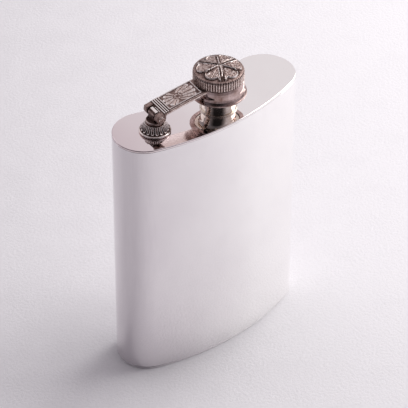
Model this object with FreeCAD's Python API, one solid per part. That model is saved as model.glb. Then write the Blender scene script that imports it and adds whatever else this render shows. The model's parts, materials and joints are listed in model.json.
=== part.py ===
# Curved hip flask with a captive screw cap carried on a hinged arm.
# Millimetres, +Z up. The origin is the middle of the base, on the surface it stands on.
# The convex front faces -Y, the hinge post stands towards -X and the neck near the middle.

import math
import os

import FreeCAD
import Part

os.makedirs("parts", exist_ok=True)

# Flask body: a constant-thickness band bent round an upright axis behind the flask.
BODY_W = 95.0
BODY_T = 28.0
BODY_H = 122.5
FRONT_R = 117.6
WALL = 0.7
PLATE_T = 1.0
BASE_EDGE = 0.25
JOINT_LINE = 0.12

# Neck, centred a little right of the middle.
NECK_X = 1.8
NECK_Y = -3.85
NECK_BORE_R = 5.4
NECK_TAIL_R = 6.9
NECK_TAIL = 3.0
NECK_FOOT_R = 7.45
NECK_BEAD_R = 8.1
NECK_BEAD_H = 0.7
NECK_SHOULDER_R = 8.5
NECK_SHOULDER_Z = 8.0
NECK_FLARE = ((0.0, 1.6), (0.12, 3.4), (0.5, 5.6))
NECK_LAND_R = 8.05
NECK_ROOT_R = 6.5
NECK_CREST_R = 7.1
NECK_TOP = 14.5
THREAD_PITCH = 1.6
THREAD_Z0 = 9.6
THREAD_TURNS = 2.25

# Hinge post.
POST_X = -29.7
POST_Y = 0.46
STUD_R = 1.6
STUD_TAIL = 2.6
FOOT_RING_R = 6.2
FOOT_RING_H = 0.4
BELL_R = 6.9
BELL_RIM_Z = 0.8
BELL_TOP_R = 4.5
BELL_TOP_Z = 4.9
GADROONS = 18
GADROON_GROOVE_R = 0.42
COLLAR_WAIST_R = 3.5
COLLAR_R = 4.0
COLLAR_TOP_R = 3.6
COLLAR_TOP_Z = 6.4
WASHER_R = 4.2
WASHER_T = 0.8

# Hinge.
PIN_Z = 9.1
PIN_R = 1.0
PIN_RUNNING = 0.06
PIN_HEAD_R = 1.35
PIN_HEAD_T = 0.4
BARREL_R = 2.0
TONGUE_HALF_W = 2.2
TONGUE_HALF_L = 1.95
EAR_R = 2.2
EAR_END_X = -1.9
EAR_END_R = 2.65
SLOT_HALF_W = 2.9
SLOT_END = 1.2
SLOT_ROOF_R = 2.3

# Arm, in its own frame: x from the pin towards the neck, z above the top plate.
ARM_HALF_W = 5.6
STRAP_T = 1.35
STRAP_MID = (10.5, 13.35)
STRAP_END = (21.8, 15.1)
PANEL_X0 = 4.3
PANEL_X1 = 20.3
PANEL_HALF_W = 4.8
PANEL_T = 0.25
FRAME_W = 0.5
RELIEF_T = 0.6
FLOWER_X = 11.4
FLOWER_R = 1.2
FLOWER_EYE_R = 0.45
PETALS = 8
PETAL_R = 0.75
PETAL_REACH = 2.1
LEAF_ROWS = (-3.15, -1.05, 1.05, 3.15)
FAN_LEAF = (5.8, 8.4, 0.85)
LONG_LEAF = (14.7, 18.9, 0.6)
BAND_X = (1.75, 2.7, 3.65)
BAND_W = 0.5
BAND_T = 0.35

# Ring that carries the cap at the arm's end.
LIP_R = 12.2
LIP_Z = 8.2
LIP_T = 0.7
RING_WAIST_R = 10.95
RING_WAIST_Z = 11.0
RING_BULGE_R = 11.15
RING_BULGE_Z = 12.4
RING_TOP_R = 10.6
RING_TOP_Z = 15.2
RING_BORE_R = 9.3
COUNTERBORE_R = 10.3
COUNTERBORE_Z = 9.6

# Cap.
CROWN_Z0 = 15.5
CROWN_R = 11.1
FLUTES = 60
FLUTE_DEPTH = 0.35
BAND_TOP_Z = 19.4
SHOULDER_R = 10.3
SHOULDER_Z = 20.0
DOME_Z = 21.3
SLEEVE_R = 9.0
SLEEVE_BORE_R = 8.05
SLEEVE_CREST_R = 7.65
SLEEVE_Z0 = 8.5
SLEEVE_TOP = 18.4
SLEEVE_FLANGE_R = 9.9
SLEEVE_FLANGE_T = 0.8
LINER_Z0 = 14.7
LINER_Z1 = 16.6
GLIDE_R0 = 9.35
GLIDE_R1 = 10.1
GLIDE_T = 0.2

# Three-leaf clover on the dome, its middle a little off the cap's axis.
LEAVES = 3
CLOVER_OFFSET = (1.0, 0.6)
CLOVER_R = 9.8
LEAF_HEADING = 58.5
LEAF_TIP = 0.4
LOBE_X = 5.6
LOBE_Y = 2.9
LOBE_R = 3.1
LEAF_RAISE = 0.6
HUB_R = 0.9
STEM_HEADING = 237.0
STEM_LEN = 8.6
STEM_HALF_W = 0.4

TOP = BODY_H
ARM_LEN = math.hypot(NECK_X - POST_X, NECK_Y - POST_Y)
ARM_DIR = math.degrees(math.atan2(NECK_Y - POST_Y, NECK_X - POST_X))
Z_AXIS = FreeCAD.Vector(0, 0, 1)
Y_AXIS = FreeCAD.Vector(0, 1, 0)
ORIGIN = FreeCAD.Vector(0, 0, 0)


def export(name, shape):
    shape.exportStep("parts/%s.step" % name)


def vec(x, y, z=0.0):
    return FreeCAD.Vector(x, y, z)


def section_face(inset):
    """Plan outline of the flask, drawn in from the outer face by inset."""
    mid_r = FRONT_R - BODY_T / 2
    end_x = (BODY_W - BODY_T) / 2
    drop = math.sqrt(mid_r ** 2 - end_x ** 2)
    axis_y = (FRONT_R + drop - BODY_T / 2) / 2
    out_x, out_y = end_x / mid_r, -drop / mid_r
    front_r = FRONT_R - inset
    back_r = FRONT_R - BODY_T + inset
    end_r = BODY_T / 2 - inset
    front = [vec(s * out_x * front_r, axis_y + out_y * front_r) for s in (-1, 1)]
    back = [vec(s * out_x * back_r, axis_y + out_y * back_r) for s in (-1, 1)]
    tip = [vec(s * (end_x - out_y * end_r), axis_y - drop + out_x * end_r) for s in (-1, 1)]
    edges = [
        Part.Arc(front[0], vec(0, axis_y - front_r), front[1]).toShape(),
        Part.Arc(front[1], tip[1], back[1]).toShape(),
        Part.Arc(back[1], vec(0, axis_y - back_r), back[0]).toShape(),
        Part.Arc(back[0], tip[0], front[0]).toShape(),
    ]
    return Part.Face(Part.Wire(edges))


def slab(inset, z0, z1):
    face = section_face(inset)
    face.translate(vec(0, 0, z0))
    return face.extrude(vec(0, 0, z1 - z0))


def tapered_edge(inset, z0, z1):
    """Thin layer whose outline grows from inset to the full section between z0 and z1."""
    low = section_face(inset).OuterWire
    high = section_face(0.0).OuterWire
    low.translate(vec(0, 0, z0))
    high.translate(vec(0, 0, z1))
    return Part.makeLoft([low, high], True, True)


def outline(runs):
    """Closed wire in the XZ plane; two-point runs are straight, longer ones are smooth."""
    edges = []
    for run in runs:
        points = [vec(x, 0, z) for x, z in run]
        if len(points) == 2:
            edges.append(Part.makeLine(points[0], points[1]))
        elif len(points) == 3:
            edges.append(Part.Arc(points[0], points[1], points[2]).toShape())
        else:
            curve = Part.BSplineCurve()
            curve.interpolate(points)
            edges.append(curve.toShape())
    first = vec(runs[0][0][0], 0, runs[0][0][1])
    last = vec(runs[-1][-1][0], 0, runs[-1][-1][1])
    if first.distanceToPoint(last) > 1e-6:
        edges.append(Part.makeLine(last, first))
    return Part.Wire(edges)


def straight(points):
    """Straight runs through the points in turn."""
    return [[points[i], points[i + 1]] for i in range(len(points) - 1)]


def turned(runs):
    return Part.Face(outline(runs)).revolve(ORIGIN, Z_AXIS, 360)


def tube(r0, r1, z0, z1):
    outer = Part.makeCylinder(r1, z1 - z0, vec(0, 0, z0))
    return outer.cut(Part.makeCylinder(r0, z1 - z0 + 2, vec(0, 0, z0 - 1)))


def cross_cylinder(r, half_len):
    """Cylinder on the hinge axis, lying across the arm."""
    return Part.makeCylinder(r, 2 * half_len, vec(0, -half_len, PIN_Z), Y_AXIS)


def thread_ridge(r_foot, r_crest, z0, turns):
    """Helical ridge of triangular section from r_foot to r_crest."""
    helix = Part.makeHelix(THREAD_PITCH, THREAD_PITCH * turns, r_foot)
    half = THREAD_PITCH * 0.3
    blunt = THREAD_PITCH * 0.07
    corners = [
        vec(r_foot, 0, -half),
        vec(r_crest, 0, -blunt),
        vec(r_crest, 0, blunt),
        vec(r_foot, 0, half),
    ]
    wire = Part.makePolygon(corners + corners[:1])
    ridge = Part.Wire(helix.Edges).makePipeShell([wire], True, True)
    ridge.translate(vec(0, 0, z0))
    return ridge


def at_neck(shape):
    placed = shape.copy()
    placed.translate(vec(NECK_X, NECK_Y, TOP))
    return placed


def at_post(shape):
    """From the arm's own frame to the flask: x turned to point from the post to the neck."""
    placed = shape.copy()
    placed.rotate(ORIGIN, Z_AXIS, ARM_DIR)
    placed.translate(vec(POST_X, POST_Y, TOP))
    return placed


def build_body():
    wall = slab(0.0, PLATE_T, BODY_H - PLATE_T)
    wall = wall.cut(slab(WALL, PLATE_T - 1, BODY_H - PLATE_T + 1))
    base = tapered_edge(BASE_EDGE, 0.0, BASE_EDGE)
    base = base.fuse(slab(0.0, BASE_EDGE, PLATE_T - JOINT_LINE))
    base = base.fuse(slab(JOINT_LINE, PLATE_T - JOINT_LINE, PLATE_T)).removeSplitter()
    z0 = BODY_H - PLATE_T
    top = slab(JOINT_LINE, z0, z0 + JOINT_LINE)
    top = top.fuse(slab(0.0, z0 + JOINT_LINE, BODY_H)).removeSplitter()
    top = top.cut(Part.makeCylinder(NECK_TAIL_R, 4, vec(NECK_X, NECK_Y, z0 - 2)))
    top = top.cut(Part.makeCylinder(STUD_R, 4, vec(POST_X, POST_Y, z0 - 2)))
    export("body_wall", wall)
    export("base_plate", base)
    export("top_plate", top)


def build_neck():
    runs = straight([
        (NECK_BORE_R, NECK_TOP),
        (NECK_BORE_R, -NECK_TAIL),
        (NECK_TAIL_R, -NECK_TAIL),
        (NECK_TAIL_R, 0.0),
        (NECK_FOOT_R, 0.0),
        (NECK_FOOT_R, NECK_FLARE[0][1]),
    ])
    shoulder = (NECK_SHOULDER_R, NECK_SHOULDER_Z - 0.5)
    land = (NECK_LAND_R, NECK_SHOULDER_Z)
    runs.append([(NECK_FOOT_R + out, z) for out, z in NECK_FLARE] + [shoulder])
    runs.append([shoulder, (NECK_SHOULDER_R - 0.1, NECK_SHOULDER_Z - 0.12), land])
    runs += straight([
        land,
        (NECK_ROOT_R, NECK_SHOULDER_Z),
        (NECK_ROOT_R, NECK_TOP - 0.3),
        (NECK_ROOT_R - 0.3, NECK_TOP),
        (NECK_BORE_R, NECK_TOP),
    ])
    neck = turned(runs)
    ridge = thread_ridge(NECK_ROOT_R - 0.15, NECK_CREST_R, THREAD_Z0, THREAD_TURNS)
    neck = neck.fuse(ridge)
    bead = turned([
        [(NECK_FOOT_R, 0.0), (NECK_BEAD_R - 0.3, 0.0)],
        [(NECK_BEAD_R - 0.3, 0.0), (NECK_BEAD_R, NECK_BEAD_H / 2), (NECK_BEAD_R - 0.3, NECK_BEAD_H)],
        [(NECK_BEAD_R - 0.3, NECK_BEAD_H), (NECK_FOOT_R, NECK_BEAD_H)],
    ])
    export("pour_neck", at_neck(neck))
    export("neck_base_ring", at_neck(bead))


def gadroon_grooves():
    """Sloping grooves between the bell's lobes."""
    low = vec(BELL_R + 0.15, 0, BELL_RIM_Z + 0.3)
    high = vec(BELL_TOP_R + 0.15, 0, BELL_TOP_Z + 0.3)
    line = high.sub(low)
    tool = Part.makeCylinder(GADROON_GROOVE_R, line.Length, low, line)
    tools = []
    for i in range(GADROONS):
        groove = tool.copy()
        groove.rotate(ORIGIN, Z_AXIS, (i + 0.5) * 360.0 / GADROONS)
        tools.append(groove)
    return tools


def build_post():
    ring_r = FOOT_RING_R - FOOT_RING_H / 2
    ring = turned([
        [(STUD_R, 0.0), (ring_r, 0.0)],
        [(ring_r, 0.0), (FOOT_RING_R, FOOT_RING_H / 2), (ring_r, FOOT_RING_H)],
        [(ring_r, FOOT_RING_H), (STUD_R, FOOT_RING_H)],
    ])
    rim_low = (BELL_R - 0.2, FOOT_RING_H)
    rim_high = (BELL_R - 0.2, 2 * BELL_RIM_Z - FOOT_RING_H)
    bell = turned([
        [(STUD_R, FOOT_RING_H), rim_low],
        [rim_low, (BELL_R, BELL_RIM_Z), rim_high],
        [rim_high, (BELL_TOP_R, BELL_TOP_Z)],
        [(BELL_TOP_R, BELL_TOP_Z), (STUD_R, BELL_TOP_Z)],
    ])
    bell = bell.cut(gadroon_grooves())
    collar = turned([
        [(STUD_R, BELL_TOP_Z), (COLLAR_WAIST_R, BELL_TOP_Z)],
        [(COLLAR_WAIST_R, BELL_TOP_Z), (COLLAR_R, BELL_TOP_Z + 0.4)],
        [(COLLAR_R, BELL_TOP_Z + 0.4), (COLLAR_R, COLLAR_TOP_Z - 0.4)],
        [(COLLAR_R, COLLAR_TOP_Z - 0.4), (COLLAR_TOP_R, COLLAR_TOP_Z)],
        [(COLLAR_TOP_R, COLLAR_TOP_Z), (STUD_R, COLLAR_TOP_Z)],
    ])
    tongue = Part.makeBox(
        2 * TONGUE_HALF_L,
        2 * TONGUE_HALF_W,
        PIN_Z - COLLAR_TOP_Z,
        vec(-TONGUE_HALF_L, -TONGUE_HALF_W, COLLAR_TOP_Z),
    )
    stud = Part.makeCylinder(STUD_R, STUD_TAIL + COLLAR_TOP_Z + 0.5, vec(0, 0, -STUD_TAIL))
    head_z = -PLATE_T - WASHER_T
    head = Part.makeCylinder(STUD_R + 0.5, STUD_TAIL + head_z, vec(0, 0, -STUD_TAIL))
    knuckle = cross_cylinder(BARREL_R, TONGUE_HALF_W).fuse([tongue, stud, head]).removeSplitter()
    knuckle = knuckle.cut(cross_cylinder(PIN_R + PIN_RUNNING, TONGUE_HALF_W + 1))
    washer = tube(STUD_R, WASHER_R, head_z, -PLATE_T)
    export("post_foot_ring", at_post(ring))
    export("post_bell", at_post(bell))
    export("post_collar", at_post(collar))
    export("post_knuckle", at_post(knuckle))
    export("post_backing_washer", at_post(washer))


def strap_arc():
    """Centre and radius of the strap's arched top."""
    (x1, z1), (x2, z2) = STRAP_MID, STRAP_END
    x0, z0 = EAR_END_X, PIN_Z + math.sqrt(EAR_END_R ** 2 - EAR_END_X ** 2)
    a = x0 * (z1 - z2) - z0 * (x1 - x2) + x1 * z2 - x2 * z1
    s0, s1, s2 = x0 ** 2 + z0 ** 2, x1 ** 2 + z1 ** 2, x2 ** 2 + z2 ** 2
    cx = (s0 * (z1 - z2) + s1 * (z2 - z0) + s2 * (z0 - z1)) / (2 * a)
    cz = (s0 * (x2 - x1) + s1 * (x0 - x2) + s2 * (x1 - x0)) / (2 * a)
    return cx, cz, math.hypot(x0 - cx, z0 - cz)


ARC_X, ARC_Z, ARC_R = strap_arc()


def arc_point(x, lift):
    """Point of the arched top above x, raised along its normal by lift."""
    up = math.sqrt(ARC_R ** 2 - (x - ARC_X) ** 2)
    return (ARC_X + (x - ARC_X) * (ARC_R + lift) / ARC_R, ARC_Z + up * (ARC_R + lift) / ARC_R)


def arched_bar(x0, x1, low, high, y0, y1):
    """Length of strap between two heights measured from the arched top."""
    xm = (x0 + x1) / 2
    bottom = [arc_point(x, low) for x in (x0, xm, x1)]
    top = [arc_point(x, high) for x in (x1, xm, x0)]
    face = Part.Face(outline([bottom, [bottom[-1], top[0]], top]))
    face.translate(vec(0, y0, 0))
    return face.extrude(vec(0, y1 - y0, 0))


def ring_solid():
    runs = straight([
        (RING_BORE_R, RING_TOP_Z),
        (RING_BORE_R, COUNTERBORE_Z),
        (COUNTERBORE_R, COUNTERBORE_Z),
        (COUNTERBORE_R, LIP_Z),
        (LIP_R - 0.3, LIP_Z),
    ])
    runs += [
        [(LIP_R - 0.3, LIP_Z), (LIP_R, LIP_Z + LIP_T / 2), (LIP_R - 0.3, LIP_Z + LIP_T)],
        [(LIP_R - 0.3, LIP_Z + LIP_T), (LIP_R - 0.55, LIP_Z + LIP_T)],
        [(LIP_R - 0.55, LIP_Z + LIP_T), (LIP_R - 0.95, RING_WAIST_Z - 1.1), (RING_WAIST_R, RING_WAIST_Z)],
        [
            (RING_WAIST_R, RING_WAIST_Z),
            (RING_BULGE_R, RING_BULGE_Z),
            (RING_BULGE_R - 0.15, RING_BULGE_Z + 1.4),
            (RING_TOP_R, RING_TOP_Z),
        ],
        [(RING_TOP_R, RING_TOP_Z), (RING_BORE_R, RING_TOP_Z)],
    ]
    ring = turned(runs)
    ring.translate(vec(ARM_LEN, 0, 0))
    return ring


def leaf_pad(x0, x1, half_w, y):
    """Upright prism with round ends, standing along the arm."""
    pad = Part.makeBox(x1 - x0, 2 * half_w, 30, vec(x0, y - half_w, 0))
    return pad.fuse([Part.makeCylinder(half_w, 30, vec(x, y, 0)) for x in (x0, x1)])


def panel_ornament():
    """Flower with a fan of short leaves before it and long leaves beyond."""
    parts = [Part.makeCylinder(FLOWER_R, 30, vec(FLOWER_X, 0, 0))]
    for i in range(PETALS):
        angle = (i + 0.5) * 2 * math.pi / PETALS
        spot = vec(FLOWER_X + PETAL_REACH * math.cos(angle), PETAL_REACH * math.sin(angle), 0)
        parts.append(Part.makeCylinder(PETAL_R, 30, spot))
    for y in LEAF_ROWS:
        parts.append(leaf_pad(*FAN_LEAF, y))
        parts.append(leaf_pad(*LONG_LEAF, y))
    return parts


def build_arm():
    ring = ring_solid()
    strap = arched_bar(0.0, STRAP_END[0], -STRAP_T, 0.0, -ARM_HALF_W, ARM_HALF_W)
    corner = arched_bar(EAR_END_X, 0.6, -STRAP_T, 0.0, -ARM_HALF_W, ARM_HALF_W)
    corner = corner.common(cross_cylinder(EAR_END_R, ARM_HALF_W))
    strap = strap.fuse([corner, cross_cylinder(EAR_R, ARM_HALF_W)]).removeSplitter()
    slot = Part.makeBox(SLOT_END + 6, 2 * SLOT_HALF_W, 12, vec(-6, -SLOT_HALF_W, PIN_Z - 6))
    slot = slot.fuse(cross_cylinder(SLOT_ROOF_R, SLOT_HALF_W))
    strap = strap.cut([slot, cross_cylinder(PIN_R, ARM_HALF_W + 1)])
    strap = strap.cut(Part.makeCylinder(RING_TOP_R, 20, vec(ARM_LEN, 0, 0)))
    strap = strap.cut(ring)

    half = BAND_W / 2
    bands = [arched_bar(x - half, x + half, 0.0, BAND_T, -ARM_HALF_W, ARM_HALF_W) for x in BAND_X]
    export("arm_cross_bands", at_post(Part.makeCompound(bands)))

    panel = arched_bar(PANEL_X0, PANEL_X1, 0.0, RELIEF_T, -PANEL_HALF_W, PANEL_HALF_W)
    field = arched_bar(
        PANEL_X0 + FRAME_W, PANEL_X1 - FRAME_W, PANEL_T, RELIEF_T + 1,
        -PANEL_HALF_W + FRAME_W, PANEL_HALF_W - FRAME_W,
    )
    eye = Part.makeCylinder(FLOWER_EYE_R, 30, vec(FLOWER_X, 0, 0))
    panel = panel.cut([field.cut(panel_ornament()), eye])
    export("arm_relief_panel", at_post(panel))

    pin = cross_cylinder(PIN_R, ARM_HALF_W)
    for side in (-1, 1):
        start = vec(0, side * ARM_HALF_W, PIN_Z)
        pin = pin.fuse(Part.makeCylinder(PIN_HEAD_R, PIN_HEAD_T, start, vec(0, side, 0)))
    export("arm_strap", at_post(strap))
    export("arm_ring", at_post(ring))
    export("hinge_pin", at_post(pin))
    export("glide_washer", at_neck(tube(GLIDE_R0, GLIDE_R1, RING_TOP_Z, RING_TOP_Z + GLIDE_T)))


def dome_radius():
    rise = DOME_Z - SHOULDER_Z
    return (SHOULDER_R ** 2 + rise ** 2) / (2 * rise)


def build_crown():
    points = []
    for i in range(2 * FLUTES):
        r = CROWN_R - (i % 2) * FLUTE_DEPTH
        angle = i * math.pi / FLUTES
        points.append(vec(r * math.cos(angle), r * math.sin(angle), CROWN_Z0))
    star = Part.Face(Part.makePolygon(points + points[:1])).extrude(vec(0, 0, DOME_Z))
    shoulder_mid = (CROWN_R - 0.22, SHOULDER_Z - 0.24)
    half = SHOULDER_R / 2
    dome_mid = (half, DOME_Z - dome_radius() + math.sqrt(dome_radius() ** 2 - half ** 2))
    envelope = turned([
        [(0.0, CROWN_Z0), (CROWN_R - 0.3, CROWN_Z0)],
        [(CROWN_R - 0.3, CROWN_Z0), (CROWN_R + 0.05, CROWN_Z0 + 0.35)],
        [(CROWN_R + 0.05, CROWN_Z0 + 0.35), (CROWN_R + 0.05, BAND_TOP_Z)],
        [(CROWN_R + 0.05, BAND_TOP_Z), shoulder_mid, (SHOULDER_R, SHOULDER_Z)],
        [(SHOULDER_R, SHOULDER_Z), dome_mid, (0.0, DOME_Z)],
        [(0.0, DOME_Z), (0.0, CROWN_Z0)],
    ])
    crown = star.common(envelope)
    crown = crown.cut(Part.makeCylinder(SLEEVE_R, SLEEVE_TOP, vec(0, 0, 0)))
    export("cap_crown", at_neck(crown))


def leaf(heading):
    """Heart-shaped leaf: two round lobes joined to a tip near the middle."""
    reach = math.hypot(LOBE_X - LEAF_TIP, LOBE_Y)
    angle = math.atan2(LOBE_Y, LOBE_X - LEAF_TIP) + math.asin(LOBE_R / reach)
    side = math.sqrt(reach ** 2 - LOBE_R ** 2)
    edge_x, edge_y = LEAF_TIP + side * math.cos(angle), side * math.sin(angle)
    corners = [
        vec(LEAF_TIP, 0),
        vec(edge_x, -edge_y),
        vec(LOBE_X, -LOBE_Y),
        vec(LOBE_X, LOBE_Y),
        vec(edge_x, edge_y),
    ]
    blade = Part.Face(Part.makePolygon(corners + corners[:1])).extrude(vec(0, 0, 10))
    lobes = [Part.makeCylinder(LOBE_R, 10, vec(LOBE_X, s * LOBE_Y, 0)) for s in (-1, 1)]
    whole = blade.fuse(lobes)
    whole.translate(vec(0, 0, SHOULDER_Z - 3))
    whole.rotate(ORIGIN, Z_AXIS, heading)
    return whole


def build_clover():
    centre = vec(0, 0, DOME_Z - dome_radius())
    shell = Part.makeSphere(dome_radius() + LEAF_RAISE, centre).cut(Part.makeSphere(dome_radius(), centre))
    hub = Part.makeCylinder(HUB_R, 10, vec(0, 0, SHOULDER_Z - 3))
    stem = Part.makeBox(STEM_LEN, 2 * STEM_HALF_W, 10, vec(0, -STEM_HALF_W, SHOULDER_Z - 3))
    stem.rotate(ORIGIN, Z_AXIS, STEM_HEADING)
    leaves = [leaf(LEAF_HEADING + 360 * i / LEAVES) for i in range(LEAVES)]
    whole = hub.fuse(leaves + [stem])
    whole.translate(vec(*CLOVER_OFFSET))
    shell = shell.common(Part.makeCylinder(CLOVER_R, 10, vec(0, 0, SHOULDER_Z - 3)))
    export("clover_relief", at_neck(whole.common(shell)))


def build_sleeve():
    runs = straight([
        (0.0, LINER_Z1),
        (SLEEVE_BORE_R, LINER_Z1),
        (SLEEVE_BORE_R, SLEEVE_Z0),
        (SLEEVE_FLANGE_R, SLEEVE_Z0),
        (SLEEVE_FLANGE_R, SLEEVE_Z0 + SLEEVE_FLANGE_T),
        (SLEEVE_R, SLEEVE_Z0 + SLEEVE_FLANGE_T),
        (SLEEVE_R, SLEEVE_TOP),
        (0.0, SLEEVE_TOP),
        (0.0, LINER_Z1),
    ])
    sleeve = turned(runs)
    ridge = thread_ridge(SLEEVE_BORE_R + 0.15, SLEEVE_CREST_R, THREAD_Z0 + 0.3, THREAD_TURNS)
    export("cap_sleeve", at_neck(sleeve.fuse(ridge)))
    export("cap_liner", at_neck(Part.makeCylinder(SLEEVE_BORE_R, LINER_Z1 - LINER_Z0, vec(0, 0, LINER_Z0))))


build_body()
build_neck()
build_post()
build_arm()
build_crown()
build_clover()
build_sleeve()
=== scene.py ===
"""Looks of a curved silver hip flask with a captive cap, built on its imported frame."""

import json
import math

import bmesh
import bpy
import numpy as np
from mathutils import Matrix, Vector


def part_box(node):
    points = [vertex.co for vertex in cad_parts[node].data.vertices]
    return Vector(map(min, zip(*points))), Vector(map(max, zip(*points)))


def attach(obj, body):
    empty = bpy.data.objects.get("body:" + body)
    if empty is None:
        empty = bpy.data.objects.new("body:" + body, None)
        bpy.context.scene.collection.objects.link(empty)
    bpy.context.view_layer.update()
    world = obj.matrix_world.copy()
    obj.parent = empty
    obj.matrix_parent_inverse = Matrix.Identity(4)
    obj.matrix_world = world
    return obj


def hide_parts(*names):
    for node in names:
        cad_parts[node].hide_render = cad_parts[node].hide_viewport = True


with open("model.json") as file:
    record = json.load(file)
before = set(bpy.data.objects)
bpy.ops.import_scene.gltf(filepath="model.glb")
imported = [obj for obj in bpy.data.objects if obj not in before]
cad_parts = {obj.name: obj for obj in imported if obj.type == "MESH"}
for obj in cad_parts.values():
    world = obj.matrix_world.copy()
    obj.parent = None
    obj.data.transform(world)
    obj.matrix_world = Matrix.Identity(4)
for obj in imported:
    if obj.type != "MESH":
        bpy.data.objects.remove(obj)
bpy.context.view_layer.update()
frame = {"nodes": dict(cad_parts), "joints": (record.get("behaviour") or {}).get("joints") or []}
scene = bpy.context.scene
rng = np.random.default_rng(7)

MM = 0.001  # lengths below are in millimetres and become metres when a mesh is made

# Places and sizes that come from the frame.
WALL_LO, WALL_HI = (np.array(c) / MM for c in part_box("body_wall"))
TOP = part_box("top_plate")[1].z / MM
BODY_W = WALL_HI[0] - WALL_LO[0]
NECK = [(a + b) / 2 / MM for a, b in zip(*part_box("cap_liner"))][:2]
POST = [(a + b) / 2 / MM for a, b in zip(*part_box("post_foot_ring"))][:2]
PIN_Z = [j for j in frame["joints"] if j["name"] == "arm_lift"][0]["pos_m"][2] / MM - TOP
ARM_LEN = math.dist(NECK, POST)
ARM_ANGLE = math.atan2(NECK[1] - POST[1], NECK[0] - POST[0])

# Body.
BODY_T = 28.0
FRONT_R = 117.6
WALL = 0.7
PLATE_T = 1.0
EDGE_R = 0.45
SEAM = 0.1
SKIN = 0.006  # keeps the finer outline inside the box of the CAD's

# Arm, measured from the pin along the arm, across it, and up from the top plate.
ARM_HALF_W = 5.6
STRAP_T = 1.35
EAR_R = 2.2
EAR_END_X = -1.9
EAR_END_R = 2.65
SLOT_HALF_W = 2.9
SLOT_END = 1.2
SLOT_ROOF_R = 2.3
STRAP_UNDERSIDE_HIGHLIGHT_X = 2.6  # beyond this the strap's underside carries a painted highlight, seen as a bright lower edge
STRAP_MID = (10.5, 13.35)
STRAP_END = (21.8, 15.1)
PANEL = (4.3, 20.3, 4.8)
FLOWER_X = 11.4
BAND_X = (1.75, 2.7, 3.65)

# Cap and ring.
CROWN_Z0 = 15.5
CROWN_R = 11.1
SHOULDER_R = 10.3
SHOULDER_Z = 20.0
DOME_Z = 21.3
FLUTE_DEPTH = 0.42
FLUTES = 60
CLOVER_OFFSET = (1.0, 0.6)  # the clover's middle sits a little off the cap's axis
LEAF_SIZES = (0.9, 1.09, 1.09)
LEAF_HEADING = math.radians(58.5)
STEM_HEADING = math.radians(237)
STEM_LEN = 8.6
GROUND_TONE = 0.42
PITS = 1100

# Neck.
NECK_ROOT_R = 6.5
NECK_CREST_R = 7.1
THREAD_PITCH = 1.6
THREAD_START = 9.3
THREAD_END = 13.8
PLATE_HOLE_R = 6.9

# Hinge post.
GADROONS = 18
STUD_R = 1.6
BARREL_R = 2.0
TONGUE_HALF_W = 2.2


# ---------------------------------------------------------------- mesh helpers

def finish_mesh(name, verts, faces, body, node, smooth=38.0, height=None):
    """Mesh object in metres from millimetre points, riding on a body in place of a CAD node."""
    mesh = bpy.data.meshes.new(name)
    mesh.from_pydata((np.asarray(verts, float) * MM).tolist(), [], faces)
    if height is not None:
        layer = mesh.attributes.new("relief", "FLOAT", "POINT")
        layer.data.foreach_set("value", np.clip(height, 0, 1).astype(np.float32).ravel())
    bm = bmesh.new()
    bm.from_mesh(mesh)
    bmesh.ops.remove_doubles(bm, verts=bm.verts, dist=1e-7)
    bmesh.ops.recalc_face_normals(bm, faces=bm.faces)
    bm.to_mesh(mesh)
    bm.free()
    mesh.shade_smooth()
    mesh.set_sharp_from_angle(angle=math.radians(smooth))
    obj = bpy.data.objects.new(name, mesh)
    scene.collection.objects.link(obj)
    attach(obj, body)
    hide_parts(*([node] if isinstance(node, str) else node))
    return obj


def grid_faces(rows, cols, wrap_rows=False, wrap_cols=False):
    """Quads over a rows x cols lattice of points."""
    i = np.arange(rows if wrap_rows else rows - 1)
    j = np.arange(cols if wrap_cols else cols - 1)
    a, b = np.meshgrid(i, j, indexing="ij")
    c, d = (a + 1) % rows, (b + 1) % cols
    quads = np.stack([a * cols + b, a * cols + d, c * cols + d, c * cols + b], -1)
    return quads.reshape(-1, 4).tolist()


def rounded(points, steps=5, closed=False):
    """Polyline through (x, z) or (x, z, radius) corners, each corner with a radius made an arc."""
    out = []
    count = len(points)
    for k, point in enumerate(points):
        p = np.array(point[:2], float)
        radius = point[2] if len(point) > 2 else 0.0
        if radius == 0 or (not closed and k in (0, count - 1)):
            out.append(p)
            continue
        before = np.array(points[k - 1][:2], float) - p
        after = np.array(points[(k + 1) % count][:2], float) - p
        before /= np.linalg.norm(before)
        after /= np.linalg.norm(after)
        half = math.acos(np.clip(before @ after, -1, 1)) / 2
        reach = radius / math.tan(half)
        centre = p + (before + after) / np.linalg.norm(before + after) * radius / math.sin(half)
        start, end = p + before * reach - centre, p + after * reach - centre
        turn = math.atan2(start[0] * end[1] - start[1] * end[0], start @ end)
        for t in np.linspace(0, turn, steps + 1):
            c, s = math.cos(t), math.sin(t)
            out.append(centre + [start[0] * c - start[1] * s, start[0] * s + start[1] * c])
    return np.array(out)


def resampled(points, step, closed=False):
    """The same polyline with its long runs divided."""
    points = np.asarray(points)
    ends = np.roll(points, -1, 0) if closed else points[1:]
    out = []
    for a, b in zip(points, ends):
        n = max(1, int(np.linalg.norm(b - a) / step))
        out += [a + (b - a) * k / n for k in range(n)]
    if not closed:
        out.append(points[-1])
    return np.array(out)


def lathe(name, profile, body, node, centre, segments=192, shape=None, closed=True, **kwargs):
    """Turned piece; shape(theta, r, z) returns the radius and relief height at each point."""
    profile = np.asarray(profile)
    theta = np.linspace(0, 2 * math.pi, segments, endpoint=False)
    z, t = np.meshgrid(profile[:, 1], theta, indexing="ij")
    r = np.repeat(profile[:, :1], segments, 1)
    height = None
    if shape:
        r, height = shape(t, r, z)
    verts = np.stack([centre[0] + r * np.cos(t), centre[1] + r * np.sin(t), TOP + z], -1)
    faces = grid_faces(len(profile), segments, closed, True)
    return finish_mesh(name, verts.reshape(-1, 3), faces, body, node, height=height, **kwargs)


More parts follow.
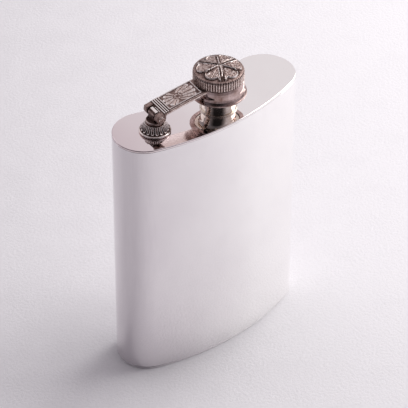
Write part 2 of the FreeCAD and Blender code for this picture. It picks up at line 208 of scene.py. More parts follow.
def arm_to_flask(points):
    """From the arm's frame to the flask's."""
    points = np.asarray(points, float)
    c, s = math.cos(ARM_ANGLE), math.sin(ARM_ANGLE)
    x = POST[0] + points[:, 0] * c - points[:, 1] * s
    y = POST[1] + points[:, 0] * s + points[:, 1] * c
    return np.stack([x, y, TOP + points[:, 2]], -1)


def step01(x):
    """Smooth step from 0 to 1 over the unit interval."""
    x = np.clip(x, 0, 1)
    return x * x * (3 - 2 * x)


def bump(distance, width):
    """Smooth bump of height one, falling off over width."""
    return np.exp(-((distance / width) ** 2))


# ---------------------------------------------------------------- body

def section(inset):
    """Plan outline of the flask drawn in by inset; the same count of points for every inset."""
    inset = inset + SKIN
    mid_r = FRONT_R - BODY_T / 2
    end_x = (BODY_W - BODY_T) / 2
    drop = math.sqrt(mid_r ** 2 - end_x ** 2)
    axis_y = (FRONT_R + drop - BODY_T / 2) / 2
    half = math.asin(end_x / mid_r)
    runs = []
    for centre, r, a0, a1, n in (
        ((0, axis_y), FRONT_R - inset, -math.pi / 2 - half, -math.pi / 2 + half, 90),
        ((end_x, axis_y - drop), BODY_T / 2 - inset, -math.pi / 2 + half, math.pi / 2 + half, 64),
        ((0, axis_y), FRONT_R - BODY_T + inset, -math.pi / 2 + half, -math.pi / 2 - half, 90),
        ((-end_x, axis_y - drop), BODY_T / 2 - inset, math.pi / 2 - half, 3 * math.pi / 2 - half, 64),
    ):
        t = np.linspace(a0, a1, n, endpoint=False)
        runs.append(np.stack([centre[0] + r * np.cos(t), centre[1] + r * np.sin(t)], -1))
    return np.concatenate(runs)


def section_tube(layers):
    """Lattice of outline points for (inset, z) layers."""
    rows = []
    for inset, z in layers:
        outline = section(inset)
        rows.append(np.column_stack([outline, np.full(len(outline), z)]))
    return np.array(rows)


def plate(name, layers, holes, body, node):
    """Flat plate: side layers closed by flat faces with round holes through them."""
    rows = section_tube(layers)
    count = rows.shape[1]
    bm = bmesh.new()
    verts = [[bm.verts.new(p * MM) for p in row] for row in rows]
    for a, b in zip(verts, verts[1:]):
        for k in range(count):
            bm.faces.new((a[k], a[(k + 1) % count], b[(k + 1) % count], b[k]))
    rims = []
    for z, row in ((layers[0][1], verts[0]), (layers[-1][1], verts[-1])):
        edges = [bm.edges.get((row[k], row[(k + 1) % count])) for k in range(count)]
        ring_sets = []
        for x, y, r in holes:
            ts = np.linspace(0, 2 * math.pi, 96, endpoint=False)
            places = [Vector((x + r * math.cos(t), y + r * math.sin(t), z)) for t in ts]
            ring = [bm.verts.new(place * MM) for place in places]
            edges += [bm.edges.new((ring[k - 1], ring[k])) for k in range(len(ring))]
            ring_sets.append(ring)
        rims.append(ring_sets)
        bmesh.ops.triangle_fill(bm, edges=edges, use_beauty=True)
    for low, high in zip(*rims):
        for k in range(len(low)):
            bm.faces.new((low[k - 1], low[k], high[k], high[k - 1]))
    bmesh.ops.recalc_face_normals(bm, faces=bm.faces)
    mesh = bpy.data.meshes.new(name)
    bm.to_mesh(mesh)
    bm.free()
    mesh.shade_smooth()
    mesh.set_sharp_from_angle(angle=math.radians(38))
    obj = bpy.data.objects.new(name, mesh)
    scene.collection.objects.link(obj)
    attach(obj, body)
    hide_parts(node)
    return obj


def edge_round(inset0, z0, inset1, z1, steps=4):
    """Quarter-round layers from one (inset, z) to the next, bulging outwards."""
    out = []
    for k in range(1, steps + 1):
        a = math.pi / 2 * k / steps
        out.append((inset0 + (inset1 - inset0) * (1 - math.cos(a)), z0 + (z1 - z0) * math.sin(a)))
    return out


def build_body():
    z0, z1 = PLATE_T, TOP - PLATE_T
    outer = [(SEAM, z0), (0.0, z0 + SEAM)]
    outer += [(0.0, z0 + (z1 - z0) * k / 12) for k in range(1, 12)]
    outer += [(0.0, z1 - SEAM), (SEAM, z1)]
    rows = section_tube(outer + [(WALL, z1), (WALL, z0)])
    faces = grid_faces(rows.shape[0], rows.shape[1], True, True)
    wall = finish_mesh("flask_wall", rows.reshape(-1, 3), faces, "flask", "body_wall")
    edge = edge_round(0.0, TOP - EDGE_R, EDGE_R, TOP)
    top = plate(
        "flask_top",
        [(SEAM, z1), (0.0, z1 + SEAM), (0.0, TOP - EDGE_R)] + edge,
        [(NECK[0], NECK[1], PLATE_HOLE_R), (POST[0], POST[1], STUD_R)],
        "flask",
        "top_plate",
    )
    foot = [(0.25, 0.0), (0.08, 0.06), (0.0, 0.25), (0.0, z0 - SEAM), (SEAM, z0)]
    base = plate("flask_base", foot, [], "flask", "base_plate")
    return wall, top, base


# ---------------------------------------------------------------- neck

def neck_thread(theta, r, z):
    """Helical ridge on the outside of the neck."""
    turn = (z - THREAD_START) / THREAD_PITCH - theta / (2 * math.pi)
    fade = step01((z - THREAD_START + 0.3) / 0.8) * step01((THREAD_END - z) / 0.8)
    ridge = np.clip(1.35 - 3.2 * np.abs(turn - np.round(turn)), 0, 1)
    outside = np.abs(r - NECK_ROOT_R) < 0.01
    lift = (NECK_CREST_R - NECK_ROOT_R) * ridge * fade * outside
    return r + lift, 0.7 + 0.3 * ridge * fade * outside


def build_neck():
    corners = [
        (5.4, -3.0, 0.15), (6.9, -3.0, 0.15), (6.9, 0.0), (7.45, 0.0), (7.45, 2.4, 4.0),
        (7.85, 5.6, 5.0), (8.5, 7.3, 0.5), (8.5, 7.75, 0.25), (8.05, 8.0, 0.15), (6.5, 8.0, 0.2),
        (6.5, 14.5, 0.3), (5.4, 14.5, 0.3),
    ]
    profile = resampled(rounded(corners, closed=True), 0.12, closed=True)
    neck = lathe("neck_spout", profile, "flask", "pour_neck", NECK, 256, neck_thread)
    bead_corners = [(7.45, 0.0), (8.1, 0.0, 0.3), (8.1, 0.7, 0.33), (7.45, 0.7)]
    bead = lathe("neck_foot_bead", rounded(bead_corners, closed=True), "flask", "neck_base_ring", NECK)
    return neck, bead


# ---------------------------------------------------------------- hinge post

BELL_Z = (0.4, 1.25, 4.9)  # underside, top of the rim, and top of the bell
COLLAR_Z = 6.4


def gadroon(theta, r, z):
    """Lobes side by side, each drawn with a raised loop open towards the top."""
    _, rim, top = BELL_Z
    pitch = 2 * math.pi * np.maximum(r, 1.0) / GADROONS
    phase = theta * GADROONS / (2 * math.pi)
    across = (phase - np.round(phase)) * pitch
    up = (z - rim) / (top - rim)
    flank = (r > 4.0) & (z > rim) & (z < top)
    window = step01((z - rim) / 0.3) * step01((top - z) / 0.3) * flank
    span = np.hypot(across, np.minimum((up - 0.3) * 3.6, 0))
    loop = bump(span - pitch * 0.27, 0.17)
    core = bump(across, 0.1) * step01((up - 0.4) / 0.2)
    groove = bump(np.abs(across) - pitch * 0.5, 0.13)
    lift = (0.3 * loop + 0.1 * core - 0.3 * groove - 0.16) * window
    height = np.where(window > 0.05, 0.2 + 1.2 * loop + 0.35 * core - 0.4 * groove, 0.85)
    return r + lift, height


def collar_painted_highlight(theta, r, z):
    """Relief value only: dull faces, with painted highlight lines along the upper edge."""
    edge = np.maximum(bump(z - COLLAR_Z + 0.25, 0.12), 0.6 * bump(z - COLLAR_Z + 0.8, 0.1))
    return r, 0.22 + 0.75 * edge * (r > 3.4)


def knuckle_painted_light(points):
    """Relief value only: a painted highlight on the barrel's top, a second painted highlight band lower on
    the barrel, and painted shade on the dark flanks.
    """
    x, z = points[:, 0], points[:, 2] - PIN_Z
    turn = np.degrees(np.arctan2(z, x))
    return 0.1 + 1.2 * step01((122 - turn) / 14) * (z > 0.3) + 0.5 * bump(turn - 155, 12)


def build_post():
    low, rim, top = BELL_Z
    ring_corners = [(STUD_R, 0.0), (6.2, 0.0, 0.19), (6.2, low, 0.19), (STUD_R, low)]
    ring = lathe("post_ring", rounded(ring_corners, closed=True), "flask", "post_foot_ring", POST)
    bell_corners = [
        (STUD_R, low), (6.6, low, 0.1), (6.88, low + 0.2, 0.2), (6.88, rim - 0.2, 0.25),
        (6.3, rim + 0.15, 0.3),
        (5.25, 3.0, 5.0), (4.55, top - 0.25, 0.3), (4.5, top, 0.08), (STUD_R, top),
    ]
    profile = resampled(rounded(bell_corners, closed=True), 0.09, closed=True)
    bell = lathe("post_gadroons", profile, "flask", "post_bell", POST, 512, gadroon, smooth=60)
    collar_corners = [
        (STUD_R, top), (3.5, top), (3.5, top + 0.15, 0.1), (4.0, top + 0.4, 0.15),
        (4.0, COLLAR_Z - 0.3, 0.3), (3.6, COLLAR_Z, 0.2), (STUD_R, COLLAR_Z),
    ]
    profile = resampled(rounded(collar_corners, closed=True), 0.1, closed=True)
    collar = lathe("post_dome", profile, "flask", "post_collar", POST, 192, collar_painted_highlight)
    t = np.linspace(0, math.pi, 25)
    barrel = [(BARREL_R * math.cos(a), PIN_Z + BARREL_R * math.sin(a)) for a in t]
    flank = [COLLAR_Z + (PIN_Z - COLLAR_Z) * k / 8 for k in range(8)]
    outline = [(-1.95, z) for z in flank[::-1]] + [(1.95, z) for z in flank] + barrel
    # The tongue's relief value is painted highlight and painted shade, set by the angle about the pin.
    tongue = extruded(
        "post_tongue", outline, TONGUE_HALF_W, 0.22, "flask", "post_knuckle", knuckle_painted_light
    )
    stud_top = COLLAR_Z + 0.1
    stud = [
        (0.0, -2.6), (2.1, -2.6, 0.3), (2.1, -1.8), (STUD_R, -1.8), (STUD_R, stud_top), (0.0, stud_top),
    ]
    join(tongue, turned_part(stud))
    return ring, bell, collar, tongue


def extruded(name, outline, half_w, soften, body, node, shade):
    """Side outline in the arm's frame drawn across the arm, with softened edges."""
    bm = bmesh.new()
    low = [bm.verts.new((x, -half_w, z)) for x, z in outline]
    high = [bm.verts.new((x, half_w, z)) for x, z in outline]
    for k in range(len(outline)):
        bm.faces.new((low[k - 1], low[k], high[k], high[k - 1]))
    ends = [bm.faces.new(low), bm.faces.new(high)]
    rim = list({edge for face in ends for edge in face.edges})
    bmesh.ops.bevel(bm, geom=rim, offset=soften, segments=3, profile=0.5, affect="EDGES")
    bmesh.ops.recalc_face_normals(bm, faces=bm.faces)
    bm.verts.index_update()
    points = np.array([v.co[:] for v in bm.verts])
    faces = [[v.index for v in face.verts] for face in bm.faces]
    bm.free()
    return finish_mesh(name, arm_to_flask(points), faces, body, node, height=shade(points))


def turned_part(corners):
    """Plain turned mesh on the post's axis, to be joined to another piece."""
    profile = rounded(corners)
    theta = np.linspace(0, 2 * math.pi, 64, endpoint=False)
    r, t = np.meshgrid(profile[:, 0], theta, indexing="ij")
    z = np.repeat(profile[:, 1:2], 64, 1)
    verts = np.stack([POST[0] + r * np.cos(t), POST[1] + r * np.sin(t), TOP + z], -1).reshape(-1, 3)
    return verts, grid_faces(len(profile), 64, False, True)


def join(obj, part):
    """Adds loose points and faces to an object's mesh."""
    verts, faces = part
    bm = bmesh.new()
    bm.from_mesh(obj.data)
    new = [bm.verts.new(Vector(v) * MM) for v in verts]
    for f in faces:
        bm.faces.new([new[k] for k in f]).smooth = True
    bmesh.ops.remove_doubles(bm, verts=bm.verts, dist=1e-7)
    bm.to_mesh(obj.data)
    bm.free()


# ---------------------------------------------------------------- arm

def strap_arc():
    """Centre and radius of the strap's arched top."""
    ear_top = (EAR_END_X, PIN_Z + math.sqrt(EAR_END_R ** 2 - EAR_END_X ** 2))
    points = [ear_top, STRAP_MID, STRAP_END]
    rows = np.array([[2 * x, 2 * z, 1] for x, z in points])
    a, b, c = np.linalg.solve(rows, [x * x + z * z for x, z in points])
    return a, b, math.sqrt(c + a * a + b * b)


ARC_X, ARC_Z, ARC_R = strap_arc()


def arc_top(x, lift=0.0):
    """Height of the arched top above x, offset along its normal by lift."""
    return ARC_Z + np.sqrt((ARC_R + lift) ** 2 - (x - ARC_X) ** 2)


def slab_from_fields(name, xs, ys, low, high, keep, body, node, height, smooth=38.0):
    """Closed slab between two height fields over the cells marked keep, in the arm's frame."""
    nx, ny = len(xs), len(ys)
    gx, gy = np.meshgrid(xs, ys, indexing="ij")
    top = np.stack([gx, gy, high], -1).reshape(-1, 3)
    bottom = np.stack([gx, gy, low], -1).reshape(-1, 3)
    index = np.arange(nx * ny).reshape(nx, ny)
    cells = np.argwhere(keep)
    i, j = cells[:, 0], cells[:, 1]
    quad = np.stack([index[i, j], index[i + 1, j], index[i + 1, j + 1], index[i, j + 1]], -1)
    shift = nx * ny
    faces = [quad, quad[:, ::-1] + shift]
    padded = np.pad(keep, 1)
    for di, dj, corner_a, corner_b in ((-1, 0, (0, 0), (0, 1)), (1, 0, (1, 1), (1, 0)),
                                       (0, -1, (1, 0), (0, 0)), (0, 1, (0, 1), (1, 1))):
        edge = ~padded[1 + i + di, 1 + j + dj]
        a = index[i[edge] + corner_a[0], j[edge] + corner_a[1]]
        b = index[i[edge] + corner_b[0], j[edge] + corner_b[1]]
        faces.append(np.stack([a, b, b + shift, a + shift], -1))
    faces = np.concatenate(faces)
    used, inverse = np.unique(faces, return_inverse=True)
    verts = arm_to_flask(np.concatenate([top, bottom]))[used]
    # Undersides: a painted highlight beyond the ear, dull nearer the pin.
    underside_highlight = np.where(gx < STRAP_UNDERSIDE_HIGHLIGHT_X, 0.3, 1.0)
    relief = np.concatenate([height.ravel(), underside_highlight.ravel()])[used]
    return finish_mesh(name, verts, inverse.reshape(-1, 4).tolist(), body, node, smooth, relief)


def build_strap():
    ear = -EAR_R * np.cos(np.linspace(0, math.pi, 41))
    corner = EAR_END_X + np.array([-0.01, 0.01, 0.03, 0.07, 0.14, 0.24, 0.36])
    beyond = np.arange(SLOT_END + 0.1, ARM_LEN - 8.0, 0.12)
    xs = np.unique(np.round(np.concatenate([ear, corner, [SLOT_END], beyond]), 4))
    side = [0, 0.09, 0.18, 0.27, 0.36, 0.45, 0.9, 1.6, 2.4]
    beside_slot = SLOT_HALF_W + np.array([-0.02, 0, 0.05, 0.12, 0.25, 0.5])
    left = np.unique(np.round(np.concatenate([ARM_HALF_W - np.array(side), beside_slot]), 4))
    ys = np.concatenate([-left[::-1], np.linspace(-SLOT_HALF_W, SLOT_HALF_W, 23)[1:-1], left])
    gx, gy = np.meshgrid(xs, ys, indexing="ij")
    disc = np.sqrt(np.maximum(EAR_R ** 2 - gx ** 2, 0))
    top = np.where(gx < EAR_END_X, PIN_Z + disc, arc_top(gx))
    underside = arc_top(gx, -STRAP_T)
    roof = PIN_Z + np.sqrt(np.maximum(SLOT_ROOF_R ** 2 - gx ** 2, 0))
    bottom = np.where(gx <= EAR_R, PIN_Z - disc, underside)
    over_slot = (np.abs(gy) < SLOT_HALF_W - 0.01) & (gx >= SLOT_END)
    bottom = np.where(over_slot, np.maximum(underside, roof), bottom)
    middle = (top + bottom) / 2
    edge = np.minimum(ARM_HALF_W - np.abs(gy), np.where(gx < SLOT_END, np.abs(gy) - SLOT_HALF_W, 9))
    edge = np.minimum(edge, np.where(gx > EAR_END_X, gx - EAR_END_X, 9))
    soft = 0.3
    drop = soft - np.sqrt(np.maximum(soft ** 2 - np.maximum(soft - edge, 0) ** 2, 0))
    top = np.maximum(top - drop, middle)
    bottom = np.minimum(bottom + drop * 0.7, middle)
    mx, my = np.meshgrid((xs[:-1] + xs[1:]) / 2, (ys[:-1] + ys[1:]) / 2, indexing="ij")
    keep = ~((mx < SLOT_END) & (np.abs(my) < SLOT_HALF_W))
    keep &= np.hypot(mx - ARM_LEN, my) > 10.3
    # Tone of the top: a painted highlight line along each side, and painted shade at the feet of the bands
    # and beside the slot.
    rail = bump(ARM_HALF_W - 0.35 - np.abs(gy), 0.2) * step01((gx - 2) / 2)
    gaps = [bump(gx - x, 0.2) for x in (BAND_X[0] - 0.5, *(x + 0.48 for x in BAND_X))]
    ear_inner = bump(np.abs(gy) - SLOT_HALF_W, 0.5) * (gx < SLOT_END)
    height = 0.42 + 0.3 * rail - 0.4 * np.max(gaps, 0) - 0.15 * ear_inner
    return slab_from_fields("arm_strap_cast", xs, ys, bottom, top, keep, "arm", "arm_strap", height)


def stroke(gx, gy, path, width, lift):
    """Raised, tapering line along a path of points."""
    path = np.asarray(path, float)
    best = np.zeros_like(gx)
    for k, (a, b) in enumerate(zip(path, path[1:])):
        d = b - a
        t = np.clip(((gx - a[0]) * d[0] + (gy - a[1]) * d[1]) / (d @ d), 0, 1)
        dist = np.hypot(gx - a[0] - t * d[0], gy - a[1] - t * d[1])
        along = (k + t) / (len(path) - 1)
        taper = 0.45 + 0.55 * np.sin(np.pi * np.clip(along * 0.85 + 0.12, 0, 1))
        best = np.maximum(best, lift * taper * bump(dist, width * taper))
    return best


def curl(x, y, r0, r1, a0, a1, n=16):
    """Points of a spiral about (x, y)."""
    t = np.linspace(0, 1, n)
    r = r0 + (r1 - r0) * t
    a = np.radians(a0 + (a1 - a0) * t)
    return np.stack([x + r * np.cos(a), y + r * np.sin(a)], -1)


def leaf_fan(x, y, spread, leaves, reach, swell, blunt):
    """An even number of round-tipped leaves fanned about the origin towards +x; gaps are negative."""
    phi = np.degrees(np.arctan2(y, x))
    place = phi / spread - 0.5
    index = np.clip(np.round(place), -(leaves // 2), leaves // 2 - 1)
    across = np.abs(place - index) * 2
    radius = np.hypot(x, y)
    length = reach * (1 - blunt * np.abs(index + 0.5) ** 2)
    tip = length - 1.1 * np.clip(across, 0, 1) ** 2.4
    inside = step01((tip - radius) / 0.25) * (np.abs(phi) < spread * leaves / 2)
    blade = swell * (1 - 0.6 * across ** 3) + 0.1 * bump(radius - tip + 0.4, 0.3)
    return inside * blade - 0.1 * (1 - inside) - 0.12 * bump(across - 1, 0.22) * inside


def panel_relief(gx, gy):
    """Flower between a fan of short leaves and a spray of long ones, inside a fine frame."""
    x0, x1, half = PANEL
    u = gx - FLOWER_X
    v = np.abs(gy)
    radius = np.hypot(u, gy)
    angle = np.arctan2(gy, u)
    fan = leaf_fan(0.4 - u, gy, 21.0, 6, 7.3, 0.17, 0.03)
    spray = leaf_fan(u + 3.6, gy, 13.0, 6, 11.9, 0.16, 0.015)
    out = np.where(u < 0.2, fan, spray)
    for path, width, lift in (
        (curl(4.9, 3.0, 0.25, 1.1, 560, 190), 0.2, 0.26),
        (curl(7.3, 1.3, 0.2, 0.9, 560, 200), 0.18, 0.24),
        ([(1.7, 1.0), (3.0, 1.5), (5.0, 1.5), (6.5, 2.2)], 0.2, 0.26),
    ):
        out = np.maximum(out, stroke(u, v, path, width, lift))
    petal = 1.55 + 0.4 * np.abs(np.cos(angle * 4))
    blossom = step01((petal - radius) / 0.3) * (0.1 + 0.07 * np.cos(angle * 8))
    out = np.where(radius < 2.1, blossom - 0.14 * bump(radius - petal, 0.22), out)
    out = np.where(radius < 1.0, -0.25, out)
    rim = np.minimum(np.minimum(gx - x0, x1 - gx), half - v)
    out = out * step01((rim - 0.3) / 0.3)
    frame_line = 0.42 * step01(rim / 0.1) * step01((0.42 - rim) / 0.14)
    grain = 0.02 * np.sin(gx * 9.1 + 2 * np.sin(gy * 5.3)) * np.cos(gy * 8.3 + 1.5 * np.sin(gx * 3.7))
    return np.maximum(out + grain * (rim > 0.5), frame_line)


def build_panel():
    x0, x1, half = PANEL
    xs = np.linspace(x0, x1, 249)
    ys = np.linspace(-half, half, 161)
    gx, gy = np.meshgrid(xs, ys, indexing="ij")
    relief = panel_relief(gx, gy)
    high = arc_top(gx, 0.15) + np.maximum(relief, -0.12)
    low = arc_top(gx, -0.15)
    keep = np.ones((len(xs) - 1, len(ys) - 1), bool)
    tone = 0.34 + 2.3 * relief
    return slab_from_fields("arm_relief", xs, ys, low, high, keep, "arm", "arm_relief_panel", tone, 80)


def build_bands():
    """Three raised bands with rounded tops, joined as one piece."""
    verts, faces = [], []
    ys = np.concatenate([[-5.55, -5.5, -5.4], np.linspace(-5.2, 5.2, 9), [5.4, 5.5, 5.55]])
    ends = np.concatenate([[0.0, 0.6, 0.9], np.ones(9), [0.9, 0.6, 0.0]])
    t = np.linspace(0, math.pi, 11)
    for x in BAND_X:
        start = len(verts)
        for y, e in zip(ys, ends):
            px = x - 0.24 * np.cos(t)
            pz = arc_top(px, -0.08) + (0.08 + 0.33 * e * np.sin(t)) * (np.sin(t) > 1e-6)
            verts += [(a, y, b) for a, b in zip(px, pz)]
        faces += [[k + start for k in f] for f in grid_faces(len(ys), len(t), False, True)]
    verts = np.array(verts)
    relief = 0.25 + 0.85 * step01((verts[:, 2] - arc_top(verts[:, 0])) / 0.3)
    return finish_mesh("arm_bands", arm_to_flask(verts), faces, "arm", "arm_cross_bands", height=relief)


def build_ring():
    corners = [
        (9.3, 15.2, 0.1), (9.3, 9.6), (10.3, 9.6), (10.3, 8.2, 0.1), (12.2, 8.2, 0.3), (12.2, 8.9, 0.3),
        (11.7, 8.95, 0.05), (11.62, 9.15, 0.05), (11.25, 9.9, 1.5), (10.95, 11.0, 1.5),
        (11.15, 12.4, 2.0), (11.0, 13.8, 1.5), (10.6, 15.2, 0.2),
    ]
    profile = resampled(rounded(corners, closed=True), 0.15, closed=True)
    return lathe("arm_ring_moulding", profile, "arm", "arm_ring", NECK, 256)


def build_pin():
    """Pin with two low domed heads, turned about the hinge axis."""
    corners = [(0.0, -5.98), (0.7, -5.96, 1.2), (1.3, -5.72, 0.15), (1.3, -5.6), (1.0, -5.6), (1.0, 0.0)]
    half = rounded(corners)
    profile = np.concatenate([half, (half * [1, -1])[::-1][1:]])
    t = np.linspace(0, 2 * math.pi, 64, endpoint=False)
    r, a = np.meshgrid(profile[:, 0], t, indexing="ij")
    y = np.repeat(profile[:, 1:2], 64, 1)
    points = np.stack([r * np.cos(a), y, PIN_Z + r * np.sin(a)], -1).reshape(-1, 3)
    faces = grid_faces(len(profile), 64, False, True)
    worn = 0.35 + 0.6 * bump(np.hypot(points[:, 0], points[:, 2] - PIN_Z) - 1.25, 0.12)
    return finish_mesh("arm_pin", arm_to_flask(points), faces, "arm", "hinge_pin", height=worn)


# ---------------------------------------------------------------- cap

DOME_R = (SHOULDER_R ** 2 + (DOME_Z - SHOULDER_Z) ** 2) / (2 * (DOME_Z - SHOULDER_Z))


def dome_z(r):
    """Height of the cap's dome at radius r."""
    return DOME_Z - DOME_R + np.sqrt(DOME_R ** 2 - r ** 2)


def flutes(theta, r, z):
    """Rounded flutes on the cap's band, dying out over the shoulder, and the dome's tone with the clover's
    painted shadows.
    """
    band = (r > 9.6) * step01((z - CROWN_Z0 - 0.1) / 0.3) * step01((20.1 - z) / 0.55)
    wave = np.abs(np.sin(theta * FLUTES / 2))
    dip = (1 - wave) ** 1.3
    _, ground = clover_fields(r * np.cos(theta), r * np.sin(theta))
    on_dome = step01((z - SHOULDER_Z - 0.05) / 0.15)
    plain = GROUND_TONE + (0.28 - 0.6 * dip) * band
    return r - FLUTE_DEPTH * dip * band, plain + (ground - plain) * on_dome


def build_crown():
    corners = [
        (9.0, 18.4), (9.0, CROWN_Z0, 0.15), (CROWN_R, CROWN_Z0, 0.35), (CROWN_R, 19.3, 0.8),
        (10.6, 19.93, 0.35),
    ]
    dome_r = np.linspace(SHOULDER_R, 0.0, 60)
    dome = np.column_stack([dome_r, dome_z(dome_r)])
    profile = np.concatenate([resampled(rounded(corners), 0.12), dome])
    return lathe(
        "cap_crown_fluted", profile, "cap", "cap_crown", NECK, FLUTES * 12, flutes, closed=False, smooth=70
    )


def leaf_field(x, y):
    """Relief of one heart-shaped leaf lying along +x, its tone with painted highlights and painted shade,
    and the distance to its outline.
    """
    v = np.abs(y)
    tip, lobe_x, lobe_y, lobe_r = 0.5, 5.75, 2.75, 2.95
    reach = math.hypot(lobe_x - tip, lobe_y)
    slope = math.atan2(lobe_y, lobe_x - tip) + math.asin(lobe_r / reach)
    lobe = np.hypot(x - lobe_x, v - lobe_y) - lobe_r
    flank = v * math.cos(slope) - (x - tip) * math.sin(slope)
    outside = np.minimum(lobe, np.maximum(flank, x - lobe_x))
    inside = step01(-outside / 0.2)
    rim = bump(outside + 0.24, 0.18) * step01((x - 0.8) / 1.2)
    rise = 0.12 + 0.2 * step01((x - 0.5) / 6.5)
    cup = -0.16 * bump(np.hypot(x - 5.4, v - 2.5), 1.5)
    vein = bump(v, 0.3) * step01((x + 0.6) / 0.6) * step01((7.2 - x) / 1.2)
    ribs = np.clip(np.cos((v - 0.55 * x) * 3.4), 0, 1) ** 3 * step01((v - 0.7) / 0.8)
    fold = bump(v - 0.66, 0.3) * step01((x - 1.0) / 1.2)
    relief = inside * (rise + 0.3 * rim + cup - 0.22 * fold + 0.36 * vein + 0.08 * ribs)
    # The tone paints light: painted highlights on the rims, the vein and the ribs, and painted shade in
    # the folds.
    tone = 0.62 + 0.5 * rim + 0.5 * vein - 0.55 * fold + 0.16 * ribs
    return relief, tone, outside


def clover_fields(px, py):
    """Height of the clover over the dome, negative beside it, and its tone with the ground's, with a
    painted shadow round the leaves and beside the stem and a painted highlight on the stem.
    """
    cx, cy = px - CLOVER_OFFSET[0], py - CLOVER_OFFSET[1]
    lift = np.full_like(px, -1.0)
    tone = np.full_like(px, GROUND_TONE)
    for k, size in enumerate(LEAF_SIZES):
        a = LEAF_HEADING + k * 2 * math.pi / len(LEAF_SIZES)
        x = (cx * math.cos(a) + cy * math.sin(a)) / size
        y = (cy * math.cos(a) - cx * math.sin(a)) / size
        field, shade, outside = leaf_field(x, y)
        lift = np.where(outside < 0, field, lift)
        # Painted shadow on the ground round each leaf.
        tone = np.where(outside < 0, shade, tone - 0.42 * bump(outside - 0.15, 0.6))
    along = cx * math.cos(STEM_HEADING) + cy * math.sin(STEM_HEADING)
    across = cy * math.cos(STEM_HEADING) - cx * math.sin(STEM_HEADING) - 0.45 * np.sin(along * 0.36)
    stem_end = step01((STEM_LEN - along) / 0.8)
    # Painted shadow along one side of the stem.
    tone -= 0.5 * bump(across - 0.85, 0.45) * step01((along - 1.5) / 0.5) * stem_end
    stem = bump(across, 0.36) * step01(along / 0.6) * stem_end
    lift = np.maximum(lift, np.where(stem > 0.1, 0.5 * stem, -1.0))
    # Painted highlight on the stem.
    tone = np.maximum(tone, 1.05 * stem)
    hub = np.hypot(cx, cy)
    lift = np.maximum(lift, np.where(hub < 0.8, 0.4 * step01((0.9 - hub) / 0.5), -1.0))
    return lift, tone


def build_clover():
    rings = np.concatenate([[0.0], np.linspace(0.12, 9.65, 142)])
    theta = np.linspace(0, 2 * math.pi, 640, endpoint=False)
    r, t = np.meshgrid(rings, theta, indexing="ij")
    px, py = r * np.cos(t), r * np.sin(t)
    lift, tone = clover_fields(px, py)
    for a, b in rng.uniform(-9.2, 9.2, (PITS, 2)):
        pit = bump(np.hypot(px - a, py - b), 0.2) * (lift > 0.1)
        lift -= 0.07 * pit
        tone -= 0.34 * pit
    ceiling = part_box("clover_relief")[1].z / MM - TOP - 0.02
    z = np.minimum(np.where(lift < 0, dome_z(r) - 0.12, dome_z(r) + lift), ceiling)
    verts = np.stack([NECK[0] + px, NECK[1] + py, TOP + z], -1).reshape(-1, 3)
    faces = grid_faces(len(rings), len(theta), False, True)
    return finish_mesh("cap_clover", verts, faces, "cap", "clover_relief", 80, tone)


# ---------------------------------------------------------------- materials

class Nodes:
    """Short way to build a material's node tree."""

    def __init__(self, name):
        self.mat = bpy.data.materials.new(name)
        self.mat.use_nodes = True
        self.tree = self.mat.node_tree
        self.shader = self.tree.nodes["Principled BSDF"]
        self.coords = self.tree.nodes.new("ShaderNodeTexCoord").outputs["Object"]

    def link(self, source, target):
        self.tree.links.new(source, target)
        return source

    def noise(self, scale, detail=4.0, roughness=0.55, stretch=(1, 1, 1)):
        mapping = self.tree.nodes.new("ShaderNodeMapping")
        mapping.inputs["Scale"].default_value = stretch
        self.link(self.coords, mapping.inputs["Vector"])
        node = self.tree.nodes.new("ShaderNodeTexNoise")
        node.inputs["Scale"].default_value = scale
        node.inputs["Detail"].default_value = detail
        node.inputs["Roughness"].default_value = roughness
        self.link(mapping.outputs["Vector"], node.inputs["Vector"])
        return node.outputs["Fac"]

    def ramp(self, fac, stops):
        node = self.tree.nodes.new("ShaderNodeValToRGB")
        ramp = node.color_ramp
        while len(ramp.elements) < len(stops):
            ramp.elements.new(0.5)
        for element, (place, colour) in zip(ramp.elements, stops):
            element.position = place
            element.color = (*colour, 1)
        self.link(fac, node.inputs["Fac"])
        return node.outputs["Color"]

    def span(self, fac, low, high, from_low=0.0, from_high=1.0):
        node = self.tree.nodes.new("ShaderNodeMapRange")
        node.inputs["From Min"].default_value = from_low
        node.inputs["From Max"].default_value = from_high
        node.inputs["To Min"].default_value = low
        node.inputs["To Max"].default_value = high
        self.link(fac, node.inputs["Value"])
        return node.outputs["Result"]

    def blend(self, fac, a, b):
        node = self.tree.nodes.new("ShaderNodeMix")
        node.data_type = "RGBA"
        for value, socket in ((fac, 0), (a, 6), (b, 7)):
            if isinstance(value, (int, float)):
                node.inputs[socket].default_value = value
            else:
                self.link(value, node.inputs[socket])
        return node.outputs[2]

    def math(self, operation, a, b):
        node = self.tree.nodes.new("ShaderNodeMath")
        node.operation = operation
        for value, socket in ((a, 0), (b, 1)):
            if isinstance(value, (int, float)):
                node.inputs[socket].default_value = value
            else:
                self.link(value, node.inputs[socket])
        return node.outputs[0]

    def attribute(self, name):
        node = self.tree.nodes.new("ShaderNodeAttribute")
        node.attribute_name = name
        return node.outputs["Fac"]

    def bump(self, height, distance, strength=1.0):
        node = self.tree.nodes.new("ShaderNodeBump")
        node.inputs["Distance"].default_value = distance
        node.inputs["Strength"].default_value = strength
        self.link(height, node.inputs["Height"])
        self.link(node.outputs["Normal"], self.shader.inputs["Normal"])

    def finish(self, colour, roughness, metallic=1.0):
        self.link(colour, self.shader.inputs["Base Color"])
        self.link(roughness, self.shader.inputs["Roughness"])
        self.shader.inputs["Metallic"].default_value = metallic
        return self.mat


